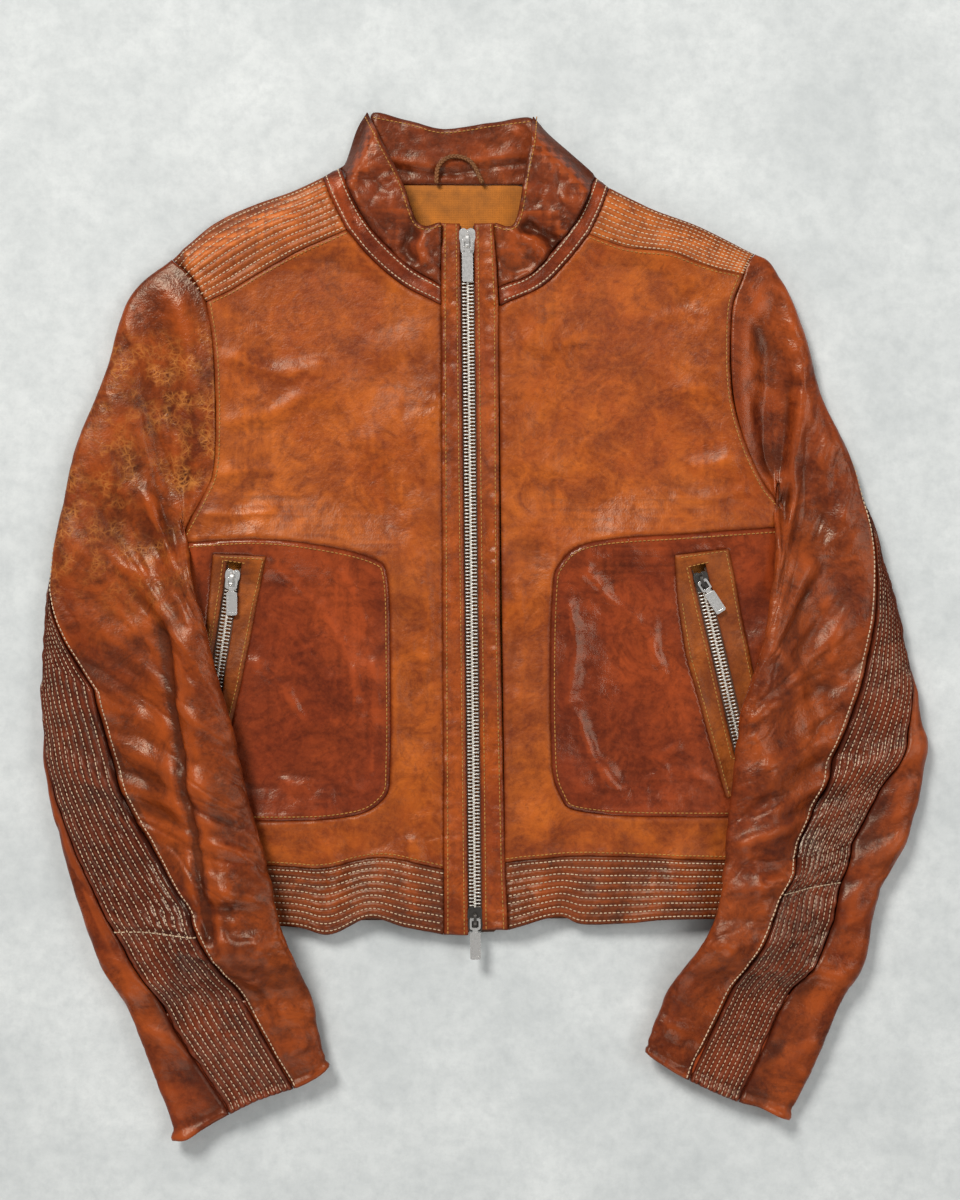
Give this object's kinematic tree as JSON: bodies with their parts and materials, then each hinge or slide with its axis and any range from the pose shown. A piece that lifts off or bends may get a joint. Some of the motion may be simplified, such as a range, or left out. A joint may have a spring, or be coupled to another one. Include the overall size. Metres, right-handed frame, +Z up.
{
  "type": "leather riding jacket",
  "caption": "Zip-front leather riding jacket laid flat, with a stand collar, quilted shoulder, sleeve and hem panels, slanted zip pockets and working zip sliders.",
  "frame": {"origin": "middle of the footprint, on the surface the jacket lies on", "axes": "+Z up out of the surface, +Y from hem to collar, +X the wearer's left"},
  "size_m": [0.662, 0.7733, 0.0417],
  "materials": {
    "front_leather": "waxed, mottled tan",
    "pocket_leather": "waxed, glossy red-brown",
    "welt_leather": "matt tan",
    "yoke_leather": "stitched rows",
    "trim_leather": "glossy dark brown",
    "hem_leather": "stitched rows",
    "placket_leather": "waxed, mottled",
    "collar_leather": "waxed dark brown",
    "sleeve_leather": "waxed, crackled",
    "quilt_leather": "stitched rows, glossy",
    "lining_cloth": "plain weave",
    "loop_cord": "braided",
    "zip_tape": "woven tape",
    "zip_metal": "polished teeth",
    "slider_silver": "polished",
    "slider_dark": "gunmetal"
  },
  "bodies": {
    "jacket": {"front_panel_right": "front_leather", "pocket_panel_right": "pocket_leather", "pocket_welt_right": "welt_leather", "pocket_bag_right": "lining_cloth", "shoulder_yoke_right": "yoke_leather", "neck_band_right": "trim_leather", "hem_band_right": "hem_leather", "placket_right": "placket_leather", "collar_right": "collar_leather", "front_lining_right": "lining_cloth", "sleeve_front_right": "sleeve_leather", "sleeve_quilt_right": "quilt_leather", "sleeve_back_right": "sleeve_leather", "cuff_facing_right": "trim_leather", "main_tape_right": "zip_tape", "main_teeth_right": "zip_metal", "pocket_tape_right": "zip_tape", "pocket_teeth_right": "zip_metal", "cuff_zip_tape_right": "zip_tape", "cuff_zip_teeth_right": "zip_metal", "front_panel_left": "front_leather", "pocket_panel_left": "pocket_leather", "pocket_welt_left": "welt_leather", "pocket_bag_left": "lining_cloth", "shoulder_yoke_left": "yoke_leather", "neck_band_left": "trim_leather", "hem_band_left": "hem_leather", "placket_left": "placket_leather", "collar_left": "collar_leather", "front_lining_left": "lining_cloth", "sleeve_front_left": "sleeve_leather", "sleeve_quilt_left": "quilt_leather", "sleeve_back_left": "sleeve_leather", "cuff_facing_left": "trim_leather", "main_tape_left": "zip_tape", "main_teeth_left": "zip_metal", "pocket_tape_left": "zip_tape", "pocket_teeth_left": "zip_metal", "cuff_zip_tape_left": "zip_tape", "cuff_zip_teeth_left": "zip_metal", "back_panel": "front_leather", "hem_band_back": "hem_leather", "back_lining": "lining_cloth", "collar_back": "collar_leather", "hanger_loop": "loop_cord"},
    "main_top_slider": {"main_slider_top": "slider_silver"},
    "main_top_pull": {"main_pull_top": "slider_silver"},
    "main_bottom_slider": {"main_slider_bottom": "slider_dark"},
    "main_bottom_pull": {"main_pull_bottom": "slider_silver"},
    "pocket_right_slider": {"pocket_slider_right": "slider_silver"},
    "pocket_right_pull": {"pocket_pull_right": "slider_silver"},
    "cuff_zip_right_slider": {"cuff_zip_slider_right": "slider_silver"},
    "cuff_zip_right_pull": {"cuff_zip_pull_right": "slider_silver"},
    "pocket_left_slider": {"pocket_slider_left": "slider_dark"},
    "pocket_left_pull": {"pocket_pull_left": "slider_silver"},
    "cuff_zip_left_slider": {"cuff_zip_slider_left": "slider_silver"},
    "cuff_zip_left_pull": {"cuff_zip_pull_left": "slider_silver"}
  },
  "joints": [
    {"name": "main_top_slide", "type": "slide", "parent": "jacket", "child": "main_top_slider", "axis": [0.0116, -0.9999, 0], "range_m": [0, 0.458]},
    {"name": "main_top_pull_swing", "type": "hinge", "parent": "main_top_slider", "child": "main_top_pull", "pos_m": [-0.01149, 0.289, 0.0161], "axis": [-0.9999, -0.0116, 0], "range_deg": [0, 172]},
    {"name": "main_bottom_slide", "type": "slide", "parent": "jacket", "child": "main_bottom_slider", "axis": [-0.0116, 0.9999, 0], "range_m": [0, 0.458]},
    {"name": "main_bottom_pull_swing", "type": "hinge", "parent": "main_bottom_slider", "child": "main_bottom_pull", "pos_m": [-0.00557, -0.22, 0.0161], "axis": [-0.9999, -0.0116, 0], "range_deg": [0, 172]},
    {"name": "pocket_right_slide", "type": "slide", "parent": "jacket", "child": "pocket_right_slider", "axis": [-0.1487, -0.9889, 0], "range_m": [0, 0.108]},
    {"name": "pocket_right_pull_swing", "type": "hinge", "parent": "pocket_right_slider", "child": "pocket_right_pull", "pos_m": [-0.18804, 0.03508, 0.0161], "axis": [-1, -0.0043, 0], "range_deg": [0, 172]},
    {"name": "cuff_zip_right_slide", "type": "slide", "parent": "jacket", "child": "cuff_zip_right_slider", "axis": [-0.2847, 0.9586, 0], "range_m": [0, 0.033]},
    {"name": "cuff_zip_right_pull_swing", "type": "hinge", "parent": "cuff_zip_right_slider", "child": "cuff_zip_right_pull", "pos_m": [-0.17959, -0.34663, 0.00408], "axis": [-0.9586, -0.2847, 0], "range_deg": [0, 172]},
    {"name": "pocket_left_slide", "type": "slide", "parent": "jacket", "child": "pocket_left_slider", "axis": [0.2286, -0.9735, 0], "range_m": [0, 0.108]},
    {"name": "pocket_left_pull_swing", "type": "hinge", "parent": "pocket_left_slider", "child": "pocket_left_pull", "pos_m": [0.1646, 0.03319, 0.0161], "axis": [-0.8414, -0.5405, 0], "range_deg": [0, 172]},
    {"name": "cuff_zip_left_slide", "type": "slide", "parent": "jacket", "child": "cuff_zip_left_slider", "axis": [0.3877, 0.9218, 0], "range_m": [0, 0.033]},
    {"name": "cuff_zip_left_pull_swing", "type": "hinge", "parent": "cuff_zip_left_slider", "child": "cuff_zip_left_pull", "pos_m": [0.17817, -0.34184, 0.00408], "axis": [-0.9218, 0.3877, 0], "range_deg": [0, 172]}
  ]
}
